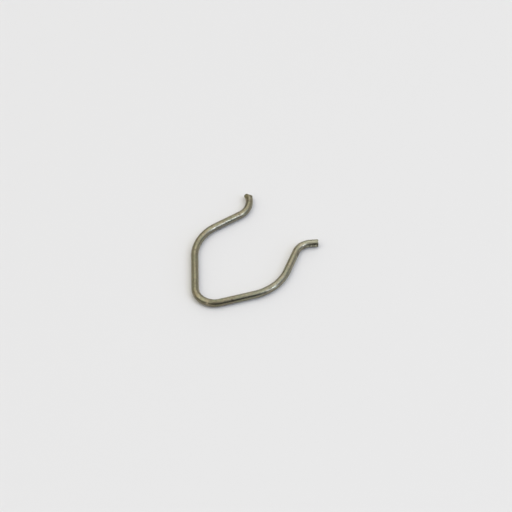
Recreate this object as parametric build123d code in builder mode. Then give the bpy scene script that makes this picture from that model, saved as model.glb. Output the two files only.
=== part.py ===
"""Wire spring clip: one length of round spring wire, bent in one plane.

The closed end is the nose. From it two legs splay apart, turn in again at the shoulders, which wrap a
round neck, close on each other as far as the mouth, and flare outwards at their tips, so that the clip
can be pushed over the neck. The legs are bent one after the other and come out a little unlike.

Millimetres and degrees. The clip lies flat with its underside on Z = 0. The origin is on the axis of
the neck that it grips. The nose is towards -Y, the mouth towards +Y and the right leg towards +X.
"""

import os
from math import radians, tan

from build123d import *

# Wire
wire_diameter = 2.0
end_edge_break = 0.12  # chamfer round each cut end

# Nose, where the wire is folded; every bend radius here is to the wire's centre
nose_to_neck = 17.5  # from the wire's centre at the nose to the axis of the neck
nose_bend_radius = 5.0
nose_turn = 104.0  # leaves each leg 38 degrees off the clip's own axis

# Left leg, in order from the nose to the tip
left_straight = 10.7
left_shoulder_radius = 11.6
left_shoulder_turn = 59.0
left_closing_run = 7.6
left_flare_radius = 5.3
left_flare_turn = 60.0
left_tip_length = 2.4
left_cut_slant = 12.0  # sheared off square, the tip's outer side the longer
left_cut_lean = 28.0  # and leant back, the tip's underside the longer

# Right leg, in the same order
right_straight = 9.0
right_shoulder_radius = 12.7
right_shoulder_turn = 53.0
right_closing_run = 7.1
right_flare_radius = 4.3
right_flare_turn = 64.0
right_tip_length = 2.1
right_cut_slant = 2.0

# Marks that the teeth of the bender's jaws pressed into the right tip, across the wire
jaw_mark_count = 4
jaw_mark_pitch = 0.9
jaw_mark_setback = 0.45  # from the cut end to the first mark
jaw_mark_depth = 0.14
jaw_mark_angle = 90.0  # between the two sides of a mark
jaw_mark_bearing = 5.0  # the marks face this far above the tip's outer side

# The wire runs on past each tip by this much before the shear takes it off at its length
shear_allowance = wire_diameter

NOSE_BEARING = 270.0  # polar angle of -Y, where the middle of the nose is
ANTICLOCKWISE = 1
CLOCKWISE = -1
SQUARE = 90.0


def lay_leg(start, heading, inward, straight, shoulder_radius, shoulder_turn, closing_run,
            flare_radius, flare_turn, tip_length):
    """Add one leg to the open line, from the nose outwards, and return the line of its tip.

    The leg is straight, shoulder bend inwards, straight, flare bend outwards and tip, each tangent
    to the one before. inward is the way round that turns this leg towards the clip's axis.
    """
    splayed = PolarLine(start, straight, direction=heading)
    shoulder = JernArc(splayed @ 1, splayed % 1, shoulder_radius, inward * shoulder_turn)
    closing = PolarLine(shoulder @ 1, closing_run, direction=shoulder % 1)
    flare = JernArc(closing @ 1, closing % 1, flare_radius, -inward * flare_turn)
    return PolarLine(flare @ 1, tip_length + shear_allowance, direction=flare % 1)


def shear_plane(tip, inward, slant, lean=0.0):
    """The plane that takes a tip off at its length, facing outwards along the wire.

    It is square across the wire, then turned inwards by slant, which leaves the outer side longer,
    and tipped up by lean, which leaves the underside longer.
    """
    along = tip % 1
    end = tip @ 1 - along * shear_allowance
    turned = along.rotate(Axis.Z, inward * slant)
    facing = turned.rotate(Axis((0, 0, 0), turned.cross(Vector(0, 0, 1))), lean)
    return Plane(origin=(end.X, end.Y, wire_diameter / 2), z_dir=facing)


def jaw_mark_plane(line, distance):
    """The plane of one jaw mark's section, its X along the wire and its Y out towards the mark.

    distance is measured back along the centre line from the right tip's cut end.
    """
    place = 1 - (distance + shear_allowance) / line.length
    along = line % place
    outer_side = along.rotate(Axis.Z, CLOCKWISE * SQUARE)
    facing = outer_side.rotate(Axis((0, 0, 0), along), -jaw_mark_bearing)
    return Plane(origin=line @ place, x_dir=along, z_dir=along.cross(facing))


with BuildPart() as spring_clip:
    with BuildLine(Plane.XY.offset(wire_diameter / 2)) as wire_centre:
        nose = CenterArc(
            (0, nose_bend_radius - nose_to_neck),
            nose_bend_radius,
            start_angle=NOSE_BEARING - nose_turn / 2,
            arc_size=nose_turn,
        )
        left_tip = lay_leg(
            nose @ 0, -(nose % 0), CLOCKWISE, left_straight, left_shoulder_radius, left_shoulder_turn,
            left_closing_run, left_flare_radius, left_flare_turn, left_tip_length,
        )
        right_tip = lay_leg(
            nose @ 1, nose % 1, ANTICLOCKWISE, right_straight, right_shoulder_radius,
            right_shoulder_turn, right_closing_run, right_flare_radius, right_flare_turn,
            right_tip_length,
        )

    # The round wire, swept along its centre line
    centre_line = wire_centre.wire()
    with BuildSketch(Plane(origin=centre_line @ 0, z_dir=centre_line % 0)):
        Circle(wire_diameter / 2)
    sweep(path=centre_line)

    # The two ends, sheared to length and their edges broken
    for end_plane in (
        shear_plane(left_tip, CLOCKWISE, left_cut_slant, left_cut_lean),
        shear_plane(right_tip, ANTICLOCKWISE, right_cut_slant),
    ):
        with BuildSketch(end_plane):
            Circle(wire_diameter + shear_allowance)
        extrude(amount=wire_diameter + shear_allowance, mode=Mode.SUBTRACT)
    cut_faces = spring_clip.faces().filter_by(GeomType.PLANE)
    chamfer(cut_faces.edges(), length=end_edge_break)

    # The jaw marks: a row of shallow V notches, cut from their floor out to clear of the wire
    floor = wire_diameter / 2 - jaw_mark_depth
    clear = wire_diameter / 2 + jaw_mark_depth
    spread = (clear - floor) * tan(radians(jaw_mark_angle / 2))
    for mark in range(jaw_mark_count):
        with BuildSketch(jaw_mark_plane(centre_line, jaw_mark_setback + mark * jaw_mark_pitch)):
            with BuildLine():
                Polyline((0, floor), (spread, clear), (-spread, clear), close=True)
            make_face()
        extrude(amount=wire_diameter / 2, both=True, mode=Mode.SUBTRACT)

spring_clip.part.label = "spring_clip"
os.makedirs("parts", exist_ok=True)
export_step(spring_clip.part, "parts/spring_clip.step")
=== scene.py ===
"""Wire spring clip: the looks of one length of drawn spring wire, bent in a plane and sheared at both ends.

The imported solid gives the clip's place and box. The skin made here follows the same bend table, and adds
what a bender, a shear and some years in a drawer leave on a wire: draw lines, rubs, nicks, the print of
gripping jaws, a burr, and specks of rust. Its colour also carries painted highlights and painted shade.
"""

import math

import bpy
import numpy as np
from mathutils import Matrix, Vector


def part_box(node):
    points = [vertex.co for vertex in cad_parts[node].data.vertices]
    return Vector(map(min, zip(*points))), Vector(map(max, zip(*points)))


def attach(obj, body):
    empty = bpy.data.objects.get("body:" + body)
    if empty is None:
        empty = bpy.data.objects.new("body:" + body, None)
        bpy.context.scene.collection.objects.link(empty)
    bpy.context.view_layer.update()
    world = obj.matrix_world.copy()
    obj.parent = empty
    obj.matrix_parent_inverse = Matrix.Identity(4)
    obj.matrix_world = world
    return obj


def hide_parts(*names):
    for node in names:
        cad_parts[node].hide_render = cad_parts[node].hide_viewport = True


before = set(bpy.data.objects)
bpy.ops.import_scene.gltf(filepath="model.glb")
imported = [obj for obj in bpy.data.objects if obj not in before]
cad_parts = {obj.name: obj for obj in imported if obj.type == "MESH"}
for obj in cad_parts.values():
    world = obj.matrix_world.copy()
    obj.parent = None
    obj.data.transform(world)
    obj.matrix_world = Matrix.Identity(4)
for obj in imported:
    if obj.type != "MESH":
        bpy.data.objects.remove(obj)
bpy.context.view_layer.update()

MM = 0.001

# ---------------------------------------------------------------- driving sizes, as in the solid
WIRE_RADIUS = (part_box("spring_clip")[1].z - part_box("spring_clip")[0].z) / 2
NOSE_TO_NECK = 17.5 * MM
LEFT_CUT_SLANT = math.radians(12.0)
LEFT_CUT_LEAN = math.radians(28.0)
RIGHT_CUT_SLANT = math.radians(2.0)

# The bend table, from the left tip to the right tip: (bend radius to the wire's centre, turn in degrees,
# anticlockwise positive) for a bend, (length, None) for a straight run
BEND_TABLE = (
    (2.4 * MM, None),
    (5.3 * MM, -60.0),
    (7.6 * MM, None),
    (11.6 * MM, 59.0),
    (10.7 * MM, None),
    (5.0 * MM, 104.0),
    (9.0 * MM, None),
    (12.7 * MM, 53.0),
    (7.1 * MM, None),
    (4.3 * MM, -64.0),
    (2.1 * MM, None),
)
CLOSING_RUN = 2  # the left closing run's row in the bend table
NOSE_BEND = 5  # the nose's row

JAW_MARK_COUNT = 4
JAW_MARK_PITCH = 0.9 * MM
JAW_MARK_SETBACK = 0.45 * MM
JAW_MARK_DEPTH = 0.14 * MM
JAW_MARK_HALF_ANGLE = math.radians(45.0)

# Where a thing lies round the wire is its bearing, in degrees: 0 outer side, 90 top, 180 inner side
JAW_MARK_BEARING = 5.0

# What the shear drew out past a cut, or crushed back behind it: how far, bearing, half width in degrees
BURR = (0.44 * MM, 56.0, 26.0)
CRUSH = (-0.12 * MM, 232.0, 48.0)
LIP = (0.21 * MM, 110.0, 22.0)
TOE = (0.11 * MM, -42.0, 32.0)
BURR_ROLL = (0.30 * MM, BURR[1], 34.0)  # how far the burr's end is rolled in, in the same way
BURR_ROLL_REACH = 0.50 * MM  # and how far back from the end that begins
LEFT_TIP_SET = 0.10 * MM  # how far the shear set each tip's end over to its inner side
RIGHT_TIP_SET = 0.030 * MM
TIP_SET_REACH = 3.6 * MM

# Unevenness of the drawn skin: depth, cells along the wire, cells round it
WAVES = (0.010 * MM, 34, 7)
DRAW_LINES = (0.004 * MM, 9, 48)
RIPPLES = (0.008 * MM, 115, 10)
PIT_DEPTH = 0.022 * MM
NICK_DEPTH = 0.014 * MM
SCORE_DEPTH = 0.020 * MM
GRIME_SHADE = 0.40  # how much a dot of grime darkens the steel
SKIN_SEED = 11
RIPPLE_SEED = 5
GRIME_SEED = 7

# The wear and painted light that follow are listed one by one. Old stains, and painted shade that
# dims highlights and deepens dark reflections: distance from the left tip in mm, bearing in degrees,
# half length along the wire and half width round it in mm, strength
STAINS_AND_SHADE = (
    (0.9, 140.0, 0.45, 0.25, 0.70),
    (1.8, 68.0, 0.60, 0.14, 0.55),
    (4.0, 52.0, 2.2, 0.32, 0.65),
    (8.4, 121.0, 0.26, 0.30, 0.95),
    (11.35, 120.0, 0.28, 0.30, 0.60),
    (12.1, 152.0, 0.60, 0.12, 0.60),
    (13.2, 112.0, 0.28, 0.30, 0.45),
    (24.4, 82.0, 0.90, 0.16, 0.30),
    (41.9, 29.0, 0.70, 0.34, 0.60),
    (43.3, 25.0, 0.45, 0.34, 0.70),
    (46.2, 56.0, 1.4, 0.27, 0.55),
    (50.2, 51.0, 0.26, 0.32, 0.90),
    (51.9, 28.0, 0.80, 0.20, 0.35),
    (58.7, 36.0, 0.30, 0.20, 0.60),
    (60.4, 53.0, 0.75, 0.26, 0.65),
    (66.9, 119.0, 0.34, 0.18, 0.50),
    (74.0, 24.0, 0.55, 0.34, 0.80),
    (75.2, 112.0, 0.36, 0.18, 0.50),
    (77.4, 46.0, 0.35, 0.20, 0.40),
    (77.7, 22.0, 0.70, 0.40, 0.50),
    (79.8, 23.0, 0.55, 0.26, 0.80),
    (81.0, 34.0, 0.75, 0.30, 0.90),
    (81.7, 28.0, 0.26, 0.36, 0.90),
)
# Small places of bare steel, in the same way: a few rubbed bare, most of them painted highlights set
# where glints fall
BARE_SPOTS_AND_HIGHLIGHTS = (
    (1.8, 103.0, 1.0, 0.18, 0.70),
    (7.6, 121.0, 0.26, 0.14, 0.45),
    (10.6, 127.0, 0.20, 0.12, 0.70),
    (12.5, 125.0, 0.22, 0.13, 0.80),
    (16.6, 137.0, 0.40, 0.16, 0.80),
    (18.2, 130.0, 0.90, 0.20, 0.40),
    (42.1, 64.0, 0.22, 0.30, 0.45),
    (61.9, 42.0, 0.50, 0.20, 0.60),
    (78.3, 54.0, 0.20, 0.10, 0.60),
    (79.1, 4.0, 0.35, 0.16, 0.90),
    (79.5, 47.0, 0.60, 0.12, 0.45),
    (80.2, 80.0, 1.9, 0.36, 0.30),
    (80.2, 6.0, 1.9, 0.26, 0.40),
    (80.3, 18.0, 0.12, 0.30, 0.60),
    (81.4, 12.0, 0.14, 0.34, 0.70),
)

# Swellings and hollows of the skin: the same four, and height in mm
RELIEF = (
    (0.62, 16.0, 0.62, 0.52, 0.360),
    (8.4, 124.0, 0.28, 0.28, -0.016),
    (11.35, 120.0, 0.35, 0.30, -0.016),
    (44.25, 18.0, 0.24, 0.20, 0.070),
    (50.2, 44.0, 0.26, 0.30, -0.025),
    (58.7, 36.0, 0.30, 0.25, -0.018),
    (60.3, 60.0, 0.80, 0.30, -0.012),
    (78.1, 30.0, 0.40, 0.30, -0.012),
    (81.9, -44.0, 0.35, 0.36, 0.050),
)

# Places lighter or darker than the steel about them: the same four, and by what share. Some are
# rubbed, soiled and crushed places; many are painted highlights where glints fall and painted shade
# where the steel's reflections are dark, and the broad faint ones trim the tone of a whole stretch with
# painted light and shade. Those past 78 mm are mostly the bars that the jaws' teeth left.
WEAR_AND_PAINTED_LIGHT = (
    (2.6, 20.0, 0.70, 0.20, -0.18),
    (4.2, 56.0, 1.9, 0.42, -0.12),
    (5.1, 128.0, 0.22, 0.20, 0.25),
    (5.2, 152.0, 0.90, 0.40, -0.14),
    (6.3, 150.0, 0.80, 0.30, -0.16),
    (7.0, 122.0, 0.35, 0.22, 0.55),
    (7.1, 132.0, 0.20, 0.20, 0.20),
    (7.4, 110.0, 1.2, 0.50, -0.12),
    (7.4, 120.0, 1.0, 0.35, -0.08),
    (8.6, 120.0, 0.30, 0.20, -0.32),
    (10.2, 152.0, 0.16, 0.12, -0.20),
    (10.6, 178.0, 2.8, 0.22, 0.50),
    (10.9, 150.0, 2.6, 0.16, -0.55),
    (11.45, 137.0, 0.25, 0.18, -0.36),
    (12.2, 167.0, 0.30, 0.20, 0.20),
    (12.4, 147.0, 0.15, 0.15, -0.30),
    (12.7, 150.0, 0.30, 0.14, -0.30),
    (14.0, 166.0, 5.0, 0.45, -0.16),
    (14.2, 190.0, 1.40, 0.30, 0.12),
    (14.5, 138.0, 0.16, 0.12, -0.20),
    (17.5, 152.0, 0.50, 0.14, -0.38),
    (18.6, 80.0, 1.6, 0.45, -0.09),
    (21.2, 102.0, 0.50, 0.16, 0.15),
    (22.0, 142.0, 2.0, 0.40, -0.10),
    (26.3, 97.0, 0.70, 0.22, 0.20),
    (31.5, 55.0, 4.5, 0.42, -0.08),
    (33.5, 130.0, 2.6, 0.40, 0.07),
    (41.2, 35.0, 1.1, 0.40, -0.12),
    (43.6, 98.0, 1.0, 0.40, -0.10),
    (44.25, 32.0, 0.24, 0.24, 2.00),
    (44.90, 37.0, 0.45, 0.20, 1.30),
    (45.0, 16.0, 0.26, 0.26, -0.30),
    (48.0, 57.0, 1.60, 0.10, -0.18),
    (48.5, 4.0, 0.55, 0.14, -0.18),
    (49.8, 15.0, 3.0, 0.40, -0.07),
    (50.8, 21.0, 4.20, 0.13, -0.22),
    (51.5, -6.0, 5.00, 0.20, 0.15),
    (51.5, 52.0, 1.6, 0.30, -0.07),
    (53.2, 35.0, 0.35, 0.10, 0.25),
    (58.6, 21.0, 0.80, 0.12, -0.25),
    (58.8, 42.0, 0.50, 0.10, 0.25),
    (59.0, 22.0, 0.30, 0.10, -0.18),
    (59.5, 50.0, 0.50, 0.12, -0.18),
    (60.1, 40.0, 0.32, 0.18, -0.14),
    (60.5, 20.0, 1.3, 0.40, 0.10),
    (60.6, 58.0, 0.60, 0.26, -0.10),
    (65.7, 84.0, 0.25, 0.12, 0.12),
    (66.5, 30.0, 1.6, 0.40, -0.10),
    (69.2, 62.0, 0.30, 0.14, -0.14),
    (69.8, 80.0, 0.14, 0.10, 0.18),
    (70.8, 42.0, 0.45, 0.14, 0.12),
    (73.1, 64.0, 0.50, 0.14, -0.10),
    (73.9, 9.0, 0.90, 0.30, -0.30),
    (74.1, 12.0, 0.42, 0.45, -0.22),
    (74.5, 84.0, 0.30, 0.12, 0.12),
    (77.2, 38.0, 0.30, 0.12, 0.25),
    (77.7, 12.0, 0.90, 0.40, -0.17),
    (77.9, 19.0, 0.80, 0.14, -0.25),
    (78.3, 42.0, 0.40, 0.12, 0.25),
    (78.6, 36.0, 0.50, 0.12, 0.35),
    (78.95, 4.0, 0.22, 0.30, 1.10),
    (79.1, 44.0, 0.45, 0.14, 0.25),
    (79.4, 89.0, 0.90, 0.40, -0.10),
    (79.60, 4.0, 0.22, 0.45, -0.60),
    (79.8, 125.0, 2.4, 0.30, -0.05),
    (79.85, 37.0, 0.45, 0.14, 0.90),
    (80.0, 50.0, 0.45, 0.10, 0.20),
    (80.28, 10.0, 0.12, 0.28, 0.40),
    (80.35, 36.0, 0.35, 0.12, 0.25),
    (80.52, 0.0, 0.08, 0.45, -0.80),
    (80.60, -4.0, 0.40, 0.18, -0.30),
    (80.78, -4.0, 0.11, 0.30, 0.60),
    (80.95, 31.0, 0.25, 0.18, -0.40),
    (81.06, 4.0, 0.10, 0.50, -0.85),
    (81.2, 60.0, 0.80, 0.08, -0.14),
    (81.38, -2.0, 0.15, 0.36, 1.60),
    (81.5, 46.0, 0.90, 0.14, 0.50),
    (81.75, 42.0, 0.20, 0.10, 0.30),
    (81.76, 4.0, 0.09, 0.50, -0.85),
    (82.28, 40.0, 0.12, 0.50, 0.60),
)

# How light the steel is drawn along the wire against its middle tone, partly its own tone and
# partly painted light and shade trimming how bright each stretch shows: distance from the left tip
# in mm, tone
TONES = (
    (0.0, 1.18), (5.5, 1.06), (8.0, 0.94), (15.0, 0.97), (19.0, 1.11), (24.0, 1.13),
    (28.0, 1.07), (38.0, 1.06), (41.5, 1.07), (44.0, 1.02), (46.0, 0.94), (49.0, 0.96),
    (53.0, 1.02), (60.0, 1.00), (63.0, 1.12), (69.0, 1.25), (76.0, 1.21), (82.0, 1.17),
)
# and how far its colour leans to tan, or below 0 to green
HUES = (
    (0.0, 0.12), (7.5, 0.12), (10.0, 0.02), (39.0, 0.02), (42.0, 0.08), (43.2, 0.06),
    (44.3, 0.24), (45.2, 0.04), (48.0, -0.06), (53.0, -0.02), (58.0, -0.08), (62.0, -0.04),
    (66.0, 0.04), (75.0, 0.02), (76.9, 0.14), (77.8, 0.14), (78.4, -0.30), (82.0, -0.30),
)
# and how far its colour wanders about that
WANDERS = (
    (0.0, 0.90), (14.0, 1.10), (20.0, 0.80), (25.0, 0.40), (40.0, 0.35), (46.0, 0.70),
    (50.0, 1.10), (71.0, 1.30), (74.0, 0.80), (82.0, 0.90),
)
# and how much greyer it is
GREYS = (
    (0.0, 0.05), (20.0, 0.05), (28.0, 0.10), (40.0, 0.05), (46.0, 0.05), (50.0, 0.15),
    (54.0, 0.28), (57.0, 0.42), (60.0, 0.40), (63.0, 0.45), (66.0, 0.28), (74.0, 0.24),
    (77.0, 0.28), (80.0, 0.08), (82.0, 0.08),
)

# ---------------------------------------------------------------- grid of the skin
ROWS = 950
COLUMNS = 96
EDGE_ROUND = 0.20 * MM  # lies within the solid's 0.12 mm chamfer
ROUNDING_ROWS = 6
FACE_RINGS = 12
TIP_REACH = 4.5 * MM  # the rows lie closer together this near either end
TIP_CROWDING = 3.0  # by so many times
TIP_EASING = 8  # the larger, the more suddenly the crowding ends
SPACING_STEPS = 8000  # steps that the rows' spacing is added up from
CENTRE_STEPS = 20000  # chords that the wire's centre line is added up from


def bend_marks():
    """Distance along the wire and heading at the ends of each row of the bend table, and the nose's middle.

    Headings are angles from the clip's X, which the wire follows at the middle of the nose.
    """
    lengths = [size if turn is None else size * math.radians(abs(turn)) for size, turn in BEND_TABLE]
    turns = [math.radians(turn or 0.0) for _, turn in BEND_TABLE]
    distance = np.concatenate([[0.0], np.cumsum(lengths)])
    heading = np.concatenate([[0.0], np.cumsum(turns)])
    middle = (distance[NOSE_BEND] + distance[NOSE_BEND + 1]) / 2
    heading -= np.interp(middle, distance, heading)
    return distance, heading, middle


MARK_DISTANCE, MARK_HEADING, NOSE_MIDDLE = bend_marks()
WIRE_LENGTH = float(MARK_DISTANCE[-1])


def wire_line(distance):
    """Centre (x, y) and heading of the wire at each distance from its left tip.

    The heading is linear in distance along each row of the table, so runs are straight and bends are arcs.
    Places are the running sum of chords, each one step long times sin(h)/h, h being half the step's turn,
    moved so that the nose's middle comes at NOSE_TO_NECK behind the neck's axis.
    """
    fine = np.linspace(0.0, WIRE_LENGTH, CENTRE_STEPS + 1)
    heading = np.interp(fine, MARK_DISTANCE, MARK_HEADING)
    half_turn = np.diff(heading) / 2
    chord = WIRE_LENGTH / CENTRE_STEPS * np.sinc(half_turn / np.pi)
    along = heading[:-1] + half_turn
    x = np.concatenate([[0.0], np.cumsum(chord * np.cos(along))])
    y = np.concatenate([[0.0], np.cumsum(chord * np.sin(along))])
    x -= np.interp(NOSE_MIDDLE, fine, x)
    y -= np.interp(NOSE_MIDDLE, fine, y) + NOSE_TO_NECK
    # Beyond either end the line goes straight on, for a slanted cut
    over = distance - np.clip(distance, 0.0, WIRE_LENGTH)
    turned = np.interp(distance, MARK_DISTANCE, MARK_HEADING)
    centre_x = np.interp(distance, fine, x) + over * np.cos(turned)
    centre_y = np.interp(distance, fine, y) + over * np.sin(turned)
    return centre_x, centre_y, turned


def wander(rng, along, around, depth, cells_along, cells_around):
    """Smooth noise on the skin, from 0 to depth, closed round the wire.

    Random heights on a lattice of cells_along by cells_around, eased between neighbours by 3t^2 - 2t^3.
    """
    lattice = rng.uniform(0.0, 1.0, (cells_along + 2, cells_around))
    u = np.clip(along / WIRE_LENGTH, 0.0, 1.0) * cells_along
    v = (around / (2 * np.pi)) % 1.0 * cells_around
    i, j = np.floor(u).astype(int), np.floor(v).astype(int) % cells_around
    fu, fv = u - np.floor(u), v - np.floor(v)
    fu, fv = fu * fu * (3 - 2 * fu), fv * fv * (3 - 2 * fv)
    k = (j + 1) % cells_around
    near = lattice[i, j] * (1 - fv) + lattice[i, k] * fv
    far = lattice[i + 1, j] * (1 - fv) + lattice[i + 1, k] * fv
    return depth * (near * (1 - fu) + far * fu)


def turned_from(around, bearing):
    """Angle of each point from a bearing, from -pi to pi."""
    return (around - math.radians(bearing) + np.pi) % (2 * np.pi) - np.pi


def spot(along, around, at, bearing, length, width):
    """A round-topped spot, 1 at its centre: exp(-(d/length)^2 - (e/width)^2), with d the distance from it
    along the wire and e the distance round the wire."""
    across = turned_from(around, bearing) * WIRE_RADIUS
    return np.exp(-(((along - at) / length) ** 2) - ((across / width) ** 2))


def laid(along, around, table):
    """The strongest of a table's spots at each point."""
    found = np.zeros_like(along)
    for at, bearing, length, width, strength in table:
        found = np.maximum(found, strength * spot(along, around, at * MM, bearing, length * MM, width * MM))
    return found


def scattered(rng, along, around, count, strength, at, bearing, length, width):
    """The strongest at each point of count random spots.

    The last five are the ranges that a spot's values are drawn from, in this order, its half length and
    half width in mm.
    """
    found = np.zeros_like(along)
    for _ in range(count):
        found = np.maximum(found, rng.uniform(*strength) * spot(
            along, around,
            at=rng.uniform(*at),
            bearing=rng.uniform(*bearing),
            length=rng.uniform(*length) * MM,
            width=rng.uniform(*width) * MM,
        ))
    return found


def along_wire(along, table):
    """A table of (distance in mm, value), read off in straight lines at each point."""
    return np.interp(along / MM, *np.transpose(table))


def jaw_marks(along, around):
    """How deep the jaw marks are, each a V notch straight across the wire.

    A notch's floor stands back from its middle line by the distance along the wire over the tangent of
    half its angle. In the direction of a point turned a from the marks' bearing, that floor is met at
    its own height over cos a, and the notch takes off what the round has beyond it.
    """
    facing = np.cos(turned_from(around, JAW_MARK_BEARING))
    facing = np.maximum(facing, 0.05)  # above 0, so that the far side is left whole
    depth = np.zeros_like(along)
    for mark in range(JAW_MARK_COUNT):
        middle = WIRE_LENGTH - JAW_MARK_SETBACK - mark * JAW_MARK_PITCH
        floor = WIRE_RADIUS - JAW_MARK_DEPTH + np.abs(along - middle) / math.tan(JAW_MARK_HALF_ANGLE)
        depth = np.maximum(depth, WIRE_RADIUS - floor / facing)
    return depth


def jaw_scores(along, around):
    """Faint scores of the same jaws higher up the side, two to a mark's pitch, every other one fainter."""
    scores = np.zeros_like(along)
    for score in range(2 * JAW_MARK_COUNT):
        scores = np.maximum(scores, (0.9 if score % 2 else 0.6) * spot(
            along, around,
            at=WIRE_LENGTH - JAW_MARK_SETBACK - (score - 0.4) * JAW_MARK_PITCH / 2,
            bearing=36.0,
            length=0.11 * MM,
            width=0.42 * MM,
        ))
    return scores


def skin_height(along, around):
    """How far the skin stands off a true round, in metres, and the masks that the finish is laid by."""
    rng = np.random.default_rng(SKIN_SEED)
    run_start, run_end = MARK_DISTANCE[CLOSING_RUN:CLOSING_RUN + 2]
    height = np.zeros_like(along)
    for at, bearing, length, width, rise in RELIEF:
        height += rise * MM * spot(along, around, at * MM, bearing, length * MM, width * MM)
    waves = wander(rng, along, around, *WAVES)
    lines = wander(rng, along, around, *DRAW_LINES)
    ripples = wander(np.random.default_rng(RIPPLE_SEED), along, around, *RIPPLES)

    # Pits along the inner side of the left closing run, where the clip slid on and off its neck
    pits = scattered(
        rng, along, around, count=34, strength=(0.4, 1.0),
        at=(run_start - 1.0 * MM, run_end + 1.5 * MM), bearing=(106.0, 152.0),
        length=(0.12, 0.30), width=(0.07, 0.16),
    )
    # Small nicks anywhere
    nicks = scattered(
        rng, along, around, count=60, strength=(0.3, 1.0),
        at=(0.0, WIRE_LENGTH), bearing=(0.0, 360.0),
        length=(0.08, 0.22), width=(0.06, 0.18),
    )
    # Dots of grime lower down on the closing run
    dots = scattered(
        np.random.default_rng(GRIME_SEED), along, around, count=46, strength=(0.3, 1.0),
        at=(run_start, run_end + 5.0 * MM), bearing=(146.0, 184.0),
        length=(0.10, 0.26), width=(0.07, 0.16),
    )
    marks = jaw_marks(along, around)
    scores = jaw_scores(along, around)
    height -= waves + lines + ripples + PIT_DEPTH * pits + NICK_DEPTH * nicks + marks
    height -= SCORE_DEPTH * scores

    # Grime fills the jaw marks, and gathers less in pits and nicks
    dent = np.clip(1.3 * marks / JAW_MARK_DEPTH + 0.5 * nicks + 0.75 * pits, 0.0, 1.0)
    # Bare steel along the closing run's inner top and along the right tip's top, set where the key lamp's
    # highlight and a bright reflection fall: partly wear, partly painted highlight
    rub_and_sheen = np.maximum(
        spot(along, around, at=(run_start + run_end) / 2, bearing=132.0, length=5.0 * MM, width=0.35 * MM),
        spot(along, around, at=WIRE_LENGTH - 1.2 * MM, bearing=76.0, length=2.4 * MM, width=0.42 * MM),
    )
    # Greyer worn steel low on the closing run's inner side and on the right tip: partly wear, partly the
    # painted grey of the floor's reflection
    worn_and_reflection_tint = np.maximum(
        spot(along, around, at=13.5 * MM, bearing=172.0, length=7.0 * MM, width=0.55 * MM),
        0.35 * spot(along, around, at=80.5 * MM, bearing=20.0, length=3.6 * MM, width=1.2 * MM),
    )
    tone = along_wire(along, TONES) * (1 - GRIME_SHADE * dots)
    # Each place lightens or darkens the tone: wear, and painted highlights and painted shade
    for at, bearing, length, width, share in WEAR_AND_PAINTED_LIGHT:
        tone *= 1 + share * spot(along, around, at * MM, bearing, length * MM, width * MM)
    return height, {
        "dent": dent,
        "rub_and_sheen": rub_and_sheen,
        "olive": spot(along, around, at=1.1 * MM, bearing=52.0, length=1.10 * MM, width=0.52 * MM),
        "worn_and_reflection_tint": worn_and_reflection_tint,
        "stain_and_shade": np.maximum(0.7 * scores, laid(along, around, STAINS_AND_SHADE)),
        "bare_and_highlight": laid(along, around, BARE_SPOTS_AND_HIGHLIGHTS),
        "tone": tone,
        "hue": along_wire(along, HUES),
        "grey": along_wire(along, GREYS),
        "wandering": along_wire(along, WANDERS),
    }


def sheared_rim(around, reach, bearing, half_width):
    """A bell round a bearing: reach exp(-(a/w)^2), with a the angle from the bearing and w the half width."""
    return reach * np.exp(-((turned_from(around, bearing) / math.radians(half_width)) ** 2))


def end_relief(radius, around):
    """How far each end's skin is drawn out past its cut plane: the burr on the left, where the underside is
    crushed back, and a small lip and toe on the right.

    Each is a bell round its own bearing and grows as the square of the distance from the middle of the cut
    face.
    """
    rim = (radius / WIRE_RADIUS) ** 2
    left = sheared_rim(around, *BURR) + sheared_rim(around, *CRUSH)
    right = sheared_rim(around, *LIP) + sheared_rim(around, *TOE)
    return rim * left, rim * right


def set_over(to_end):
    """Share of a tip's set at each distance from its end: 2u - u^2, with u rising from 0 at the set's reach
    to 1 half way to the end, and staying there."""
    u = np.clip(2 * (1 - to_end / TIP_SET_REACH), 0.0, 1.0)
    return u * (2 - u)


def row_distances():
    """Distances of the flank's rows, crowded towards both ends.

    Rows come at even steps of the running sum of their wanted density, which is 1 + (c - 1) / (1 + (d/r)^n)
    at a distance d from the nearer end, with c the crowding, r its reach and n its easing.
    """
    fine = np.linspace(EDGE_ROUND, WIRE_LENGTH - EDGE_ROUND, SPACING_STEPS + 1)
    to_end = np.minimum(fine, WIRE_LENGTH - fine)
    density = 1 + (TIP_CROWDING - 1) / (1 + (to_end / TIP_REACH) ** TIP_EASING)
    total = np.concatenate([[0.0], np.cumsum((density[1:] + density[:-1]) / 2)])
    return np.interp(np.linspace(0.0, total[-1], ROWS + 1), total, fine)[1:-1]


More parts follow.
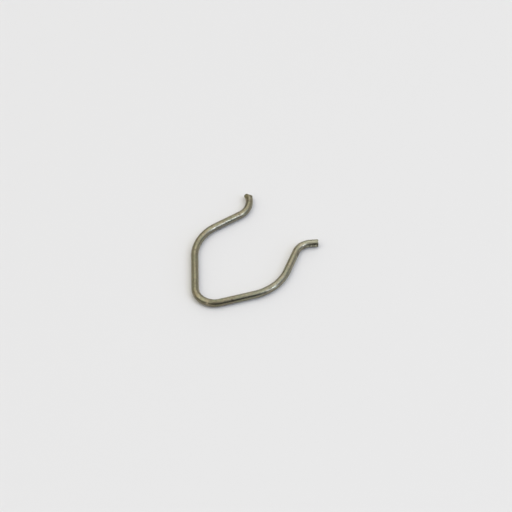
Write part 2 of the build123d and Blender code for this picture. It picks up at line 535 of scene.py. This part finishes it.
def wire_skin():
    """The wire's skin as rows of points from the left end's centre to the right end's, and its masks.

    Each row is a ring round the centre line: centre + r (cos a, across) + r (sin a, up), with a from the
    outer side by way of the top. r is the wire's radius on the flank, follows a quarter round over the
    broken edge, and shrinks evenly to nothing on the cut face. A cut's slant shifts each point of the tip
    along the wire by the slant's tangent times its distance to the outer side, and its lean by the lean's
    tangent times its height above the middle. Both fade out down the tip, with the burr and the lip. The
    burr's end is rolled in by its depth times 1 - sqrt(1 - u^2), u being how far up the rolled part it is.
    """
    quarter = np.linspace(0.0, np.pi / 2, ROUNDING_ROWS + 1)[1:]
    face_reach = np.linspace(0.0, 1.0, FACE_RINGS + 1)[1:] * (WIRE_RADIUS - EDGE_ROUND)
    edge_reach = WIRE_RADIUS - EDGE_ROUND * (1 - np.sin(quarter))
    edge_run = EDGE_ROUND * (1 - np.cos(quarter))
    flank = row_distances()
    run = np.concatenate([
        np.zeros(FACE_RINGS), edge_run, flank,
        WIRE_LENGTH - edge_run[::-1], np.full(FACE_RINGS, WIRE_LENGTH),
    ])
    reach = np.concatenate([
        face_reach, edge_reach, np.full(len(flank), WIRE_RADIUS), edge_reach[::-1], face_reach[::-1],
    ])
    around = np.linspace(0.0, 2 * np.pi, COLUMNS, endpoint=False)
    along, angle = np.meshgrid(run, around, indexing="ij")
    height, masks = skin_height(along, angle)
    to_end = np.clip(1 - along / BURR_ROLL_REACH, 0.0, 1.0)
    height -= sheared_rim(angle, *BURR_ROLL) * (1 - np.sqrt(1 - to_end ** 2))
    radius = reach[:, None] + height * (reach[:, None] / WIRE_RADIUS)
    out, up = radius * np.cos(angle), radius * np.sin(angle)
    left_tip, right_tip = MARK_DISTANCE[1], WIRE_LENGTH - MARK_DISTANCE[-2]
    near_left = np.clip(1 - along / left_tip, 0.0, 1.0)
    near_right = np.clip(1 - (WIRE_LENGTH - along) / right_tip, 0.0, 1.0)
    burr_reach, lip_reach = end_relief(radius, angle)
    left_cut = -out * math.tan(LEFT_CUT_SLANT) + up * math.tan(LEFT_CUT_LEAN) - burr_reach
    right_cut = out * math.tan(RIGHT_CUT_SLANT) + lip_reach
    shifted = along + left_cut * near_left + right_cut * near_right
    x, y, heading = wire_line(shifted)
    placed = out - LEFT_TIP_SET * set_over(along) - RIGHT_TIP_SET * set_over(WIRE_LENGTH - along)
    points = np.stack([x + placed * np.sin(heading), y - placed * np.cos(heading), WIRE_RADIUS + up], axis=-1)
    straight = np.stack([out, up, along], axis=-1) / MM
    return points, {"wire_mm": straight, **masks}


def closed_tube(name, rings, first, last):
    """A mesh of rings of points joined by quads, closed by a fan to the point first and one to last."""
    rows, columns, _ = rings.shape
    points = np.concatenate([first[None], rings.reshape(-1, 3), last[None]])
    ring = 1 + np.arange(rows * columns).reshape(rows, columns)
    turn = np.roll(ring, -1, axis=1)
    quads = np.stack([ring[:-1], ring[1:], turn[1:], turn[:-1]], axis=-1).reshape(-1, 4)
    start = np.stack([np.zeros_like(ring[0]), ring[0], turn[0]], axis=-1)
    end = np.stack([np.full_like(ring[0], len(points) - 1), turn[-1], ring[-1]], axis=-1)
    mesh = bpy.data.meshes.new(name)
    mesh.from_pydata(points.tolist(), [], start.tolist() + quads.tolist() + end.tolist())
    mesh.polygons.foreach_set("use_smooth", np.ones(len(mesh.polygons), dtype=bool))
    return mesh


def write_attribute(mesh, name, values):
    """Stores one value or vector a point on the mesh; the point that closes an end has its ring's mean."""
    kind, field = ("FLOAT_VECTOR", "vector") if values.ndim == 3 else ("FLOAT", "value")
    flat = values.reshape(values.shape[0] * values.shape[1], -1)
    first = values[0].mean(axis=0).reshape(1, -1)
    last = values[-1].mean(axis=0).reshape(1, -1)
    whole = np.concatenate([first, flat, last])
    attribute = mesh.attributes.new(name, kind, "POINT")
    attribute.data.foreach_set(field, np.ascontiguousarray(whole, dtype=np.float32).ravel())


def make_wire():
    """The wire's skin as a piece, its flank in drawn wire and its two cut faces in sheared steel."""
    rings, masks = wire_skin()
    mesh = closed_tube("spring_wire", rings, rings[0].mean(axis=0), rings[-1].mean(axis=0))
    for name, values in masks.items():
        write_attribute(mesh, name, values)
    mesh.materials.append(drawn_wire())
    mesh.materials.append(sheared_end())
    sheared = 1  # its slot among the mesh's materials
    face_polygons = COLUMNS * FACE_RINGS
    index = np.zeros(len(mesh.polygons), dtype=np.int32)
    index[:face_polygons] = sheared
    index[-face_polygons:] = sheared
    mesh.polygons.foreach_set("material_index", index)
    piece = bpy.data.objects.new("spring_wire", mesh)
    bpy.context.scene.collection.objects.link(piece)
    return piece


# ---------------------------------------------------------------- shader tools

def node(tree, kind, inputs=None, **settings):
    """Adds a node; inputs maps a socket's name or number to a value or to the socket that feeds it."""
    made = tree.nodes.new(kind)
    for name, value in settings.items():
        setattr(made, name, value)
    for name, value in (inputs or {}).items():
        if isinstance(value, bpy.types.NodeSocket):
            tree.links.new(value, made.inputs[name])
        else:
            made.inputs[name].default_value = value
    return made


def calc(tree, operation, *values, clamp=False):
    """A Math node's result."""
    made = node(tree, "ShaderNodeMath", dict(enumerate(values)), operation=operation, use_clamp=clamp)
    return made.outputs["Value"]


def vector_calc(tree, operation, inputs, output="Vector"):
    """A Vector Math node's result."""
    return node(tree, "ShaderNodeVectorMath", inputs, operation=operation).outputs[output]


def ramp(tree, value, low, high, start=0.0, end=1.0):
    """value carried from low..high to start..end, eased at both ends and held beyond them."""
    made = node(tree, "ShaderNodeMapRange", {
        "Value": value, "From Min": low, "From Max": high, "To Min": start, "To Max": end,
    }, interpolation_type="SMOOTHSTEP")
    return made.outputs["Result"]


def blend(tree, factor, first, second):
    """The colour that goes from first to second as factor goes from 0 to 1.

    A Mix node has sockets of the same names for each kind of value, so those for colours go by number.
    """
    return node(tree, "ShaderNodeMix", {0: factor, 6: first, 7: second}, data_type="RGBA").outputs[2]


def noise(tree, place, scale, detail=3.0, roughness=0.55):
    """Noise at a place, about 0.5."""
    made = node(tree, "ShaderNodeTexNoise", {
        "Vector": place, "Scale": scale, "Detail": detail, "Roughness": roughness,
    })
    return made.outputs["Fac"]


def stored(tree, name, output="Fac"):
    """One of the skin's own attributes."""
    return node(tree, "ShaderNodeAttribute", attribute_name=name, attribute_type="GEOMETRY").outputs[output]


def new_group(name, inputs, outputs):
    """An empty node group with named sockets; returns it, its inputs' sockets and its output node."""
    group = bpy.data.node_groups.new(name, "ShaderNodeTree")
    for label, kind in inputs:
        group.interface.new_socket(label, in_out="INPUT", socket_type=kind)
    for label, kind in outputs:
        group.interface.new_socket(label, in_out="OUTPUT", socket_type=kind)
    return group, group.nodes.new("NodeGroupInput").outputs, group.nodes.new("NodeGroupOutput")


def use_group(tree, group, **inputs):
    """Adds a node group, its inputs given by name, and returns its outputs."""
    return node(tree, "ShaderNodeGroup", inputs, node_tree=group).outputs


def once(make):
    """Makes a node group the first time that it is asked for, and hands out the same one after that."""
    made = []

    def get():
        if not made:
            made.append(make())
        return made[0]
    return get


# ---------------------------------------------------------------- effects that both finishes use

@once
def tool_lines():
    """Fine lines left by a die or a blade: noise squeezed across them and drawn out along the place's Z."""
    group, given, out = new_group(
        "tool_lines",
        [("Place", "NodeSocketVector"), ("Across", "NodeSocketFloat"), ("Along", "NodeSocketFloat")],
        [("Lines", "NodeSocketFloat")],
    )
    part = node(group, "ShaderNodeSeparateXYZ", {0: given["Place"]}).outputs
    stretched = node(group, "ShaderNodeCombineXYZ", {
        "X": calc(group, "MULTIPLY", part["X"], given["Across"]),
        "Y": calc(group, "MULTIPLY", part["Y"], given["Across"]),
        "Z": calc(group, "MULTIPLY", part["Z"], given["Along"]),
    }).outputs[0]
    lines = noise(group, stretched, 1.0, detail=2.0)
    group.links.new(ramp(group, lines, 0.28, 0.72), out.inputs["Lines"])
    return group


@once
def rust_specks():
    """Scattered specks: the near middles of Voronoi cells, where a slower noise is over its threshold."""
    group, given, out = new_group(
        "rust_specks",
        [("Place", "NodeSocketVector"), ("Size", "NodeSocketFloat"), ("Amount", "NodeSocketFloat")],
        [("Mask", "NodeSocketFloat")],
    )
    ragged = noise(group, given["Place"], 9.0, detail=2.0)
    cells = node(group, "ShaderNodeTexVoronoi", {
        "Vector": given["Place"], "Scale": 0.8, "Randomness": 1.0,
    }).outputs["Distance"]
    uneven = calc(group, "MULTIPLY_ADD", ragged, 0.16, cells)
    middle = ramp(group, uneven, calc(group, "ADD", given["Size"], 0.10), given["Size"])
    patchy = noise(group, given["Place"], 0.33, detail=1.0)
    threshold = calc(group, "SUBTRACT", 1.0, given["Amount"])
    chosen = ramp(group, patchy, threshold, calc(group, "ADD", threshold, 0.05))
    group.links.new(calc(group, "MULTIPLY", middle, chosen), out.inputs["Mask"])
    return group


@once
def tarnish():
    """Uneven colour of old bare steel: a slow and a faster drift between two colours, under a mottle.

    Lean takes the colour to the tan above 0 and to the green below it, and Wandering is how far it drifts
    about that.
    """
    group, given, out = new_group(
        "tarnish",
        [("Place", "NodeSocketVector"), ("Lean", "NodeSocketFloat"), ("Wandering", "NodeSocketFloat"),
         ("Greenish", "NodeSocketColor"), ("Tan", "NodeSocketColor"), ("Dark", "NodeSocketColor")],
        [("Colour", "NodeSocketColor"), ("Dullness", "NodeSocketFloat")],
    )
    slow = calc(group, "SUBTRACT", noise(group, given["Place"], 0.42, detail=2.0), 0.5)
    faster = calc(group, "SUBTRACT", noise(group, given["Place"], 1.25, detail=1.0), 0.5)
    both = calc(group, "MULTIPLY_ADD", faster, 0.9, slow)
    lean = calc(group, "ADD", given["Lean"], 0.5)
    drift = ramp(group, calc(group, "MULTIPLY_ADD", both, given["Wandering"], lean), 0.34, 0.66)
    hue = blend(group, drift, given["Greenish"], given["Tan"])
    mottle = ramp(group, noise(group, given["Place"], 1.7, detail=5.0, roughness=0.65), 0.42, 0.76)
    group.links.new(blend(group, mottle, hue, given["Dark"]), out.inputs["Colour"])
    group.links.new(mottle, out.inputs["Dullness"])
    return group


# ---------------------------------------------------------------- finishes

GREENISH_STEEL = (0.244, 0.243, 0.152, 1.0)
TAN_STEEL = (0.278, 0.240, 0.156, 1.0)
DARK_TARNISH = (0.130, 0.112, 0.074, 1.0)
# This bare steel also paints highlights where glints fall
BARE_STEEL_AND_HIGHLIGHT = (0.422, 0.405, 0.316, 1.0)
# This stained steel also paints shade over highlights and dark reflections
STAIN_AND_SHADE_STEEL = (0.080, 0.068, 0.042, 1.0)
# This worn steel also paints the grey of the floor's reflection
WORN_AND_REFLECTING_STEEL = (0.240, 0.232, 0.188, 1.0)
PALE_STEEL = (0.247, 0.242, 0.194, 1.0)
OLIVE_STEEL = (0.205, 0.190, 0.110, 1.0)
GRIME = (0.055, 0.048, 0.034, 1.0)
RUST = (0.120, 0.058, 0.028, 1.0)
CUT_STEEL = (0.330, 0.315, 0.270, 1.0)
CUT_SHADE = (0.170, 0.155, 0.115, 1.0)


def new_material(name):
    """A material with its Principled shader, on which plain numbers are set by the caller."""
    material = bpy.data.materials.new(name)
    material.use_nodes = True
    tree = material.node_tree
    return material, tree, tree.nodes["Principled BSDF"]


def drawn_wire():
    """Drawn spring wire: dull olive steel with draw lines, tarnish, grime in its dents, specks of rust, and
    painted light.
    """
    material, tree, shader = new_material("drawn_wire")
    place = stored(tree, "wire_mm", "Vector")
    coarse = use_group(tree, tool_lines(), Place=place, Across=9.0, Along=0.22)["Lines"]
    fine = use_group(tree, tool_lines(), Place=place, Across=34.0, Along=0.55)["Lines"]
    lines = calc(tree, "MULTIPLY_ADD", fine, 0.5, calc(tree, "MULTIPLY", coarse, 0.5))
    old = use_group(
        tree, tarnish(), Place=place, Lean=stored(tree, "hue"), Wandering=stored(tree, "wandering"),
        Greenish=GREENISH_STEEL, Tan=TAN_STEEL, Dark=DARK_TARNISH,
    )
    rust = use_group(tree, rust_specks(), Place=place, Size=0.10, Amount=0.42)["Mask"]

    # The old skin: greyer in places, worn on the left closing run with the painted grey of the floor's
    # reflection there, streaked by the die, and scaled by the tone with its painted highlights and shade
    steel = blend(tree, stored(tree, "grey"), old["Colour"], PALE_STEEL)
    steel = blend(tree, calc(tree, "MULTIPLY", stored(tree, "worn_and_reflection_tint"), 0.85), steel, WORN_AND_REFLECTING_STEEL)
    streaks_and_painted_light = calc(tree, "MULTIPLY", ramp(tree, lines, 0.30, 0.75, 0.80, 1.12), stored(tree, "tone"))
    steel = vector_calc(tree, "SCALE", {0: steel, "Scale": streaks_and_painted_light})
    # Rubbed along the lines, partly a painted highlight, olive behind the burr, stained, partly painted
    # shade, and bare in small spots, most of them painted highlights
    bright = calc(tree, "MULTIPLY", stored(tree, "rub_and_sheen"), ramp(tree, lines, 0.35, 0.65), clamp=True)
    steel = blend(tree, calc(tree, "MULTIPLY", bright, 0.50), steel, BARE_STEEL_AND_HIGHLIGHT)
    steel = blend(tree, ramp(tree, stored(tree, "olive"), 0.25, 0.65, 0.0, 0.85), steel, OLIVE_STEEL)
    broken = ramp(tree, lines, 0.2, 0.6, 0.75, 1.0)
    stained_and_shaded = calc(tree, "MULTIPLY", stored(tree, "stain_and_shade"), broken, clamp=True)
    steel = blend(tree, stained_and_shaded, steel, STAIN_AND_SHADE_STEEL)
    steel = blend(tree, calc(tree, "MULTIPLY", stored(tree, "bare_and_highlight"), 0.9), steel, BARE_STEEL_AND_HIGHLIGHT)
    # Grime in the dents and specks of rust, neither of which is metal
    dirt = calc(tree, "MULTIPLY", ramp(tree, stored(tree, "dent"), 0.25, 0.95), 0.80)
    soiled = blend(tree, dirt, steel, GRIME)
    tree.links.new(blend(tree, rust, soiled, RUST), shader.inputs["Base Color"])
    covered = calc(tree, "MAXIMUM", rust, calc(tree, "MULTIPLY", dirt, 0.6))
    tree.links.new(calc(tree, "SUBTRACT", 1.0, covered, clamp=True), shader.inputs["Metallic"])

    matt = calc(tree, "MULTIPLY_ADD", old["Dullness"], 0.14, ramp(tree, lines, 0.2, 0.8, 0.13, 0.20))
    matt = calc(tree, "MULTIPLY_ADD", covered, 0.45, matt, clamp=True)
    tree.links.new(matt, shader.inputs["Roughness"])

    grain = noise(tree, place, 14.0)
    relief = calc(tree, "MULTIPLY_ADD", grain, 0.35, calc(tree, "MULTIPLY_ADD", rust, 2.0, lines))
    bump = node(tree, "ShaderNodeBump", {"Strength": 0.35, "Distance": 0.006 * MM, "Height": relief})
    tree.links.new(bump.outputs["Normal"], shader.inputs["Normal"])
    # A film of oil
    shader.inputs["Coat Weight"].default_value = 0.15
    shader.inputs["Coat Roughness"].default_value = 0.10
    shader.inputs["Coat IOR"].default_value = 1.46
    return material


def sheared_end():
    """A sheared face: burnished by the blade on its inner side, torn and grainy towards the outer side."""
    material, tree, shader = new_material("sheared_end")
    place = stored(tree, "wire_mm", "Vector")
    part = node(tree, "ShaderNodeSeparateXYZ", {0: place}).outputs
    blade_way = node(tree, "ShaderNodeCombineXYZ", {
        "X": part["Y"], "Y": part["Z"], "Z": part["X"],
    }).outputs[0]
    lines = use_group(tree, tool_lines(), Place=blade_way, Across=13.0, Along=0.9)["Lines"]
    old = use_group(
        tree, tarnish(), Place=place, Lean=0.0, Wandering=1.0,
        Greenish=CUT_STEEL, Tan=TAN_STEEL, Dark=CUT_SHADE,
    )
    rust = use_group(tree, rust_specks(), Place=place, Size=0.16, Amount=0.50)["Mask"]
    tear_line = calc(tree, "MULTIPLY_ADD", noise(tree, place, 2.5), 0.5, part["X"])
    torn = ramp(tree, tear_line, 0.05, 0.30)
    grain = noise(tree, place, 11.0, detail=4.0, roughness=0.7)
    broken = calc(tree, "MULTIPLY", torn, ramp(tree, grain, 0.35, 0.65))
    worked = blend(tree, broken, old["Colour"], CUT_SHADE)
    tree.links.new(blend(tree, rust, worked, RUST), shader.inputs["Base Color"])
    tree.links.new(calc(tree, "SUBTRACT", 1.0, rust, clamp=True), shader.inputs["Metallic"])
    matt = calc(tree, "MULTIPLY_ADD", torn, 0.25, ramp(tree, lines, 0.2, 0.8, 0.24, 0.38))
    tree.links.new(calc(tree, "MULTIPLY_ADD", rust, 0.4, matt, clamp=True), shader.inputs["Roughness"])
    relief = calc(tree, "MULTIPLY_ADD", calc(tree, "MULTIPLY", torn, grain), 5.0, lines)
    bump = node(tree, "ShaderNodeBump", {"Strength": 0.6, "Distance": 0.010 * MM, "Height": relief})
    tree.links.new(bump.outputs["Normal"], shader.inputs["Normal"])
    return material


# ---------------------------------------------------------------- studio

CAMERA_AZIMUTH = math.radians(35.74)
CAMERA_ELEVATION = math.radians(49.63)
CAMERA_DISTANCE = 0.350
CAMERA_LENS = 94.75
CAMERA_AIM = np.array([1.82 * MM, 2.86 * MM, 0.0])
FLOOR_HALF = 3.0

# The light tent. Azimuths go clockwise from straight away from the camera and elevations up from the
# floor, in degrees. Each panel is an oval patch of the tent, of its radiance more or less than the walls.
# Daylight comes from the right, so the panels on that side are cool and those on the left a little warm.
TENT_WALLS = 0.63
TENT_DARKEST = 0.10  # where dark panels overlap, the tent is no darker than this
TENT_PANELS = (
    # azimuth, elevation, half width, half height, softness of its edge, radiance, how cool it is
    (0.0, 90.0, 44.0, 44.0, 0.28, 0.92, 0.00),
    (180.0, 86.0, 13.0, 13.0, 0.50, -0.45, 0.00),
    (94.0, 50.0, 18.0, 17.0, 0.45, 0.45, 0.25),
    (116.0, 30.0, 7.0, 27.0, 0.50, 1.10, 0.40),
    (-2.0, 20.0, 12.0, 28.0, 0.40, 0.34, 0.00),
    (-30.0, 28.0, 16.0, 24.0, 0.50, -0.09, 0.00),
    (-94.0, 42.0, 17.0, 19.0, 0.45, 0.50, -0.10),
    (-138.0, 50.0, 9.0, 16.0, 0.50, 0.35, -0.10),
    (-116.0, 3.0, 22.0, 17.0, 0.50, -0.20, 0.00),
    (174.0, 26.0, 31.5, 48.0, 0.30, -0.50, 0.00),
)
# The tent's light is tinted round two ways: azimuth, elevation, cosines of the angles from it at which the
# tint begins and is whole, how cool it is there
TENT_TINTS = (
    (113.0, 15.0, 0.50, 0.95, 0.34),
    (-62.0, 5.0, 0.30, 0.90, -0.20),
)
FLOOR_COLOUR = (0.739, 0.731, 0.713, 1.0)


def heading_from_camera(azimuth, elevation):
    """Unit vector at an azimuth clockwise from straight away from the camera and an elevation, in degrees."""
    a, e = CAMERA_AZIMUTH - math.radians(azimuth), math.radians(elevation)
    return np.array([-math.sin(a) * math.cos(e), math.cos(a) * math.cos(e), math.sin(e)])


def aim(thing, place, way):
    """Puts a camera or lamp at place, looking along way."""
    thing.location = place
    thing.rotation_mode = "QUATERNION"
    thing.rotation_quaternion = Vector(way).to_track_quat("-Z", "Y")
    bpy.context.scene.collection.objects.link(thing)


def make_camera():
    """The camera, above the clip's nose and looking down on it."""
    back = heading_from_camera(180.0, math.degrees(CAMERA_ELEVATION))
    camera = bpy.data.objects.new("camera", bpy.data.cameras.new("camera"))
    camera.data.lens = CAMERA_LENS
    camera.data.clip_start, camera.data.clip_end = 0.01, 20.0
    aim(camera, CAMERA_AIM + back * CAMERA_DISTANCE, -back)
    bpy.context.scene.camera = camera


def make_floor():
    """A plain pale floor under the clip."""
    h = FLOOR_HALF
    mesh = bpy.data.meshes.new("floor")
    mesh.from_pydata([(-h, -h, 0), (h, -h, 0), (h, h, 0), (-h, h, 0)], [], [(0, 1, 2, 3)])
    floor = bpy.data.objects.new("floor", mesh)
    material, _, shader = new_material("floor")
    shader.inputs["Base Color"].default_value = FLOOR_COLOUR
    shader.inputs["Roughness"].default_value = 0.9
    shader.inputs["Specular IOR Level"].default_value = 0.1
    mesh.materials.append(material)
    bpy.context.scene.collection.objects.link(floor)


def softbox(name, azimuth, elevation, distance, size, radiance, coolness):
    """A square lamp facing the clip. A lamp's power for a radiance L over an area A is pi L A."""
    data = bpy.data.lights.new(name, "AREA")
    data.shape = "SQUARE"
    data.size = size
    data.energy = math.pi * radiance * size * size
    data.color = cool_light(coolness)
    way = heading_from_camera(azimuth, elevation)
    aim(bpy.data.objects.new(name, data), way * distance, -way)


def cool_light(coolness):
    """Colour of a light: white at 0, bluish above it and warm below."""
    return (1.0 - 0.18 * coolness, 1.0, 1.0 + 0.50 * coolness)


def make_tent():
    """The light tent as the world: an even pale wall and its panels, under two tints.

    A panel's oval is where (x / sin w)^2 + (y / sin h)^2 is under 1, with x and y the parts of the way
    looked along that lie across the panel and up it, and w and h its half width and half height.
    """
    world = bpy.data.worlds.new("light_tent")
    world.use_nodes = True
    tree = world.node_tree
    way = node(tree, "ShaderNodeTexCoord").outputs["Generated"]

    def part_along(axis):
        return vector_calc(tree, "DOT_PRODUCT", {0: way, 1: tuple(axis)}, "Value")

    total = (TENT_WALLS,) * 3
    for azimuth, elevation, half_width, half_height, softness, radiance, coolness in TENT_PANELS:
        across = part_along(heading_from_camera(azimuth + 90.0, 0.0) / math.sin(math.radians(half_width)))
        up = part_along(heading_from_camera(azimuth, elevation + 90.0) / math.sin(math.radians(half_height)))
        reach = calc(tree, "SQRT", calc(tree, "MULTIPLY_ADD", across, across, calc(tree, "MULTIPLY", up, up)))
        inside = ramp(tree, reach, 1 + softness, 1 - softness)
        facing = calc(tree, "GREATER_THAN", part_along(heading_from_camera(azimuth, elevation)), 0.0)
        share = calc(tree, "MULTIPLY", inside, facing)
        colour = tuple(radiance * part for part in cool_light(coolness))
        total = vector_calc(tree, "MULTIPLY_ADD", {0: share, 1: colour, 2: total})
    lit = vector_calc(tree, "MAXIMUM", {0: total, 1: (TENT_DARKEST,) * 3})
    for azimuth, elevation, begins, whole, coolness in TENT_TINTS:
        share = ramp(tree, part_along(heading_from_camera(azimuth, elevation)), begins, whole)
        tint = tuple(part - 1.0 for part in cool_light(coolness))
        tinted = vector_calc(tree, "MULTIPLY_ADD", {0: share, 1: tint, 2: (1.0, 1.0, 1.0)})
        lit = vector_calc(tree, "MULTIPLY", {0: lit, 1: tinted})
    tree.links.new(lit, tree.nodes["Background"].inputs["Color"])
    bpy.context.scene.world = world


wire = make_wire()
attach(wire, "root")
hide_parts("spring_clip")

make_camera()
make_floor()
make_tent()
softbox("key", azimuth=113.0, elevation=39.5, distance=0.8, size=0.09, radiance=13.0, coolness=0.45)

bpy.context.scene.view_settings.view_transform = "Standard"
